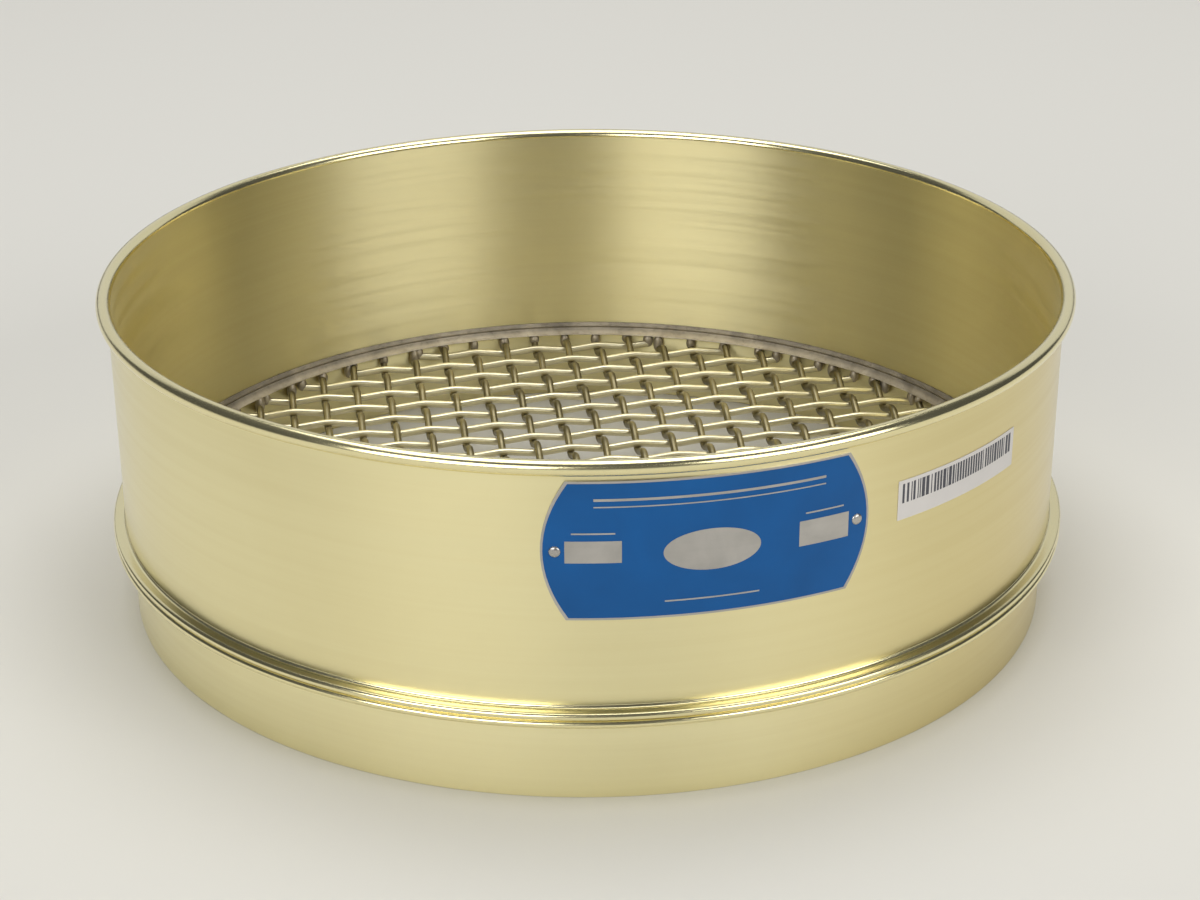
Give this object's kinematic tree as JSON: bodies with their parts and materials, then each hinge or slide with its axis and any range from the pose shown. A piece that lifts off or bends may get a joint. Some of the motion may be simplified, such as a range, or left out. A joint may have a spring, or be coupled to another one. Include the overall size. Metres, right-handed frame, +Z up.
{
  "type": "test sieve",
  "caption": "Round brass laboratory test sieve: frame with rolled rim and nesting skirt, soldered woven wire cloth, nameplate and label.",
  "frame": {"origin": "on the axis, in the plane of the skirt's lower edge", "axes": "+Z up along the sieve's axis; -Y towards the middle of the nameplate"},
  "size_m": [0.2102, 0.2102, 0.0715],
  "materials": {
    "frame_brass": "satin brass, brushed round the axis",
    "cloth_wire": "drawn brass wire, slightly dulled",
    "solder": "dull grey soft solder",
    "plate_enamel": "satin blue paint on aluminium, bare panels and edge",
    "pin_metal": "bright pin heads",
    "label_paper": "white paper label with printed bars"
  },
  "bodies": {
    "root": {"asset_label": "label_paper", "frame_body": "frame_brass", "nameplate": "plate_enamel", "nameplate_pins": "pin_metal", "skirt_ring": "frame_brass", "solder_fillet": "solder", "warp_wire_01": "cloth_wire", "warp_wire_02": "cloth_wire", "warp_wire_03": "cloth_wire", "warp_wire_04": "cloth_wire", "warp_wire_05": "cloth_wire", "warp_wire_06": "cloth_wire", "warp_wire_07": "cloth_wire", "warp_wire_08": "cloth_wire", "warp_wire_09": "cloth_wire", "warp_wire_10": "cloth_wire", "warp_wire_11": "cloth_wire", "warp_wire_12": "cloth_wire", "warp_wire_13": "cloth_wire", "warp_wire_14": "cloth_wire", "warp_wire_15": "cloth_wire", "warp_wire_16": "cloth_wire", "warp_wire_17": "cloth_wire", "warp_wire_18": "cloth_wire", "warp_wire_19": "cloth_wire", "warp_wire_20": "cloth_wire", "warp_wire_21": "cloth_wire", "warp_wire_22": "cloth_wire", "warp_wire_23": "cloth_wire", "warp_wire_24": "cloth_wire", "warp_wire_25": "cloth_wire", "weft_wire_01": "cloth_wire", "weft_wire_02": "cloth_wire", "weft_wire_03": "cloth_wire", "weft_wire_04": "cloth_wire", "weft_wire_05": "cloth_wire", "weft_wire_06": "cloth_wire", "weft_wire_07": "cloth_wire", "weft_wire_08": "cloth_wire", "weft_wire_09": "cloth_wire", "weft_wire_10": "cloth_wire", "weft_wire_11": "cloth_wire", "weft_wire_12": "cloth_wire", "weft_wire_13": "cloth_wire", "weft_wire_14": "cloth_wire", "weft_wire_15": "cloth_wire", "weft_wire_16": "cloth_wire", "weft_wire_17": "cloth_wire", "weft_wire_18": "cloth_wire", "weft_wire_19": "cloth_wire", "weft_wire_20": "cloth_wire", "weft_wire_21": "cloth_wire", "weft_wire_22": "cloth_wire", "weft_wire_23": "cloth_wire", "weft_wire_24": "cloth_wire", "weft_wire_25": "cloth_wire"}
  },
  "joints": []
}
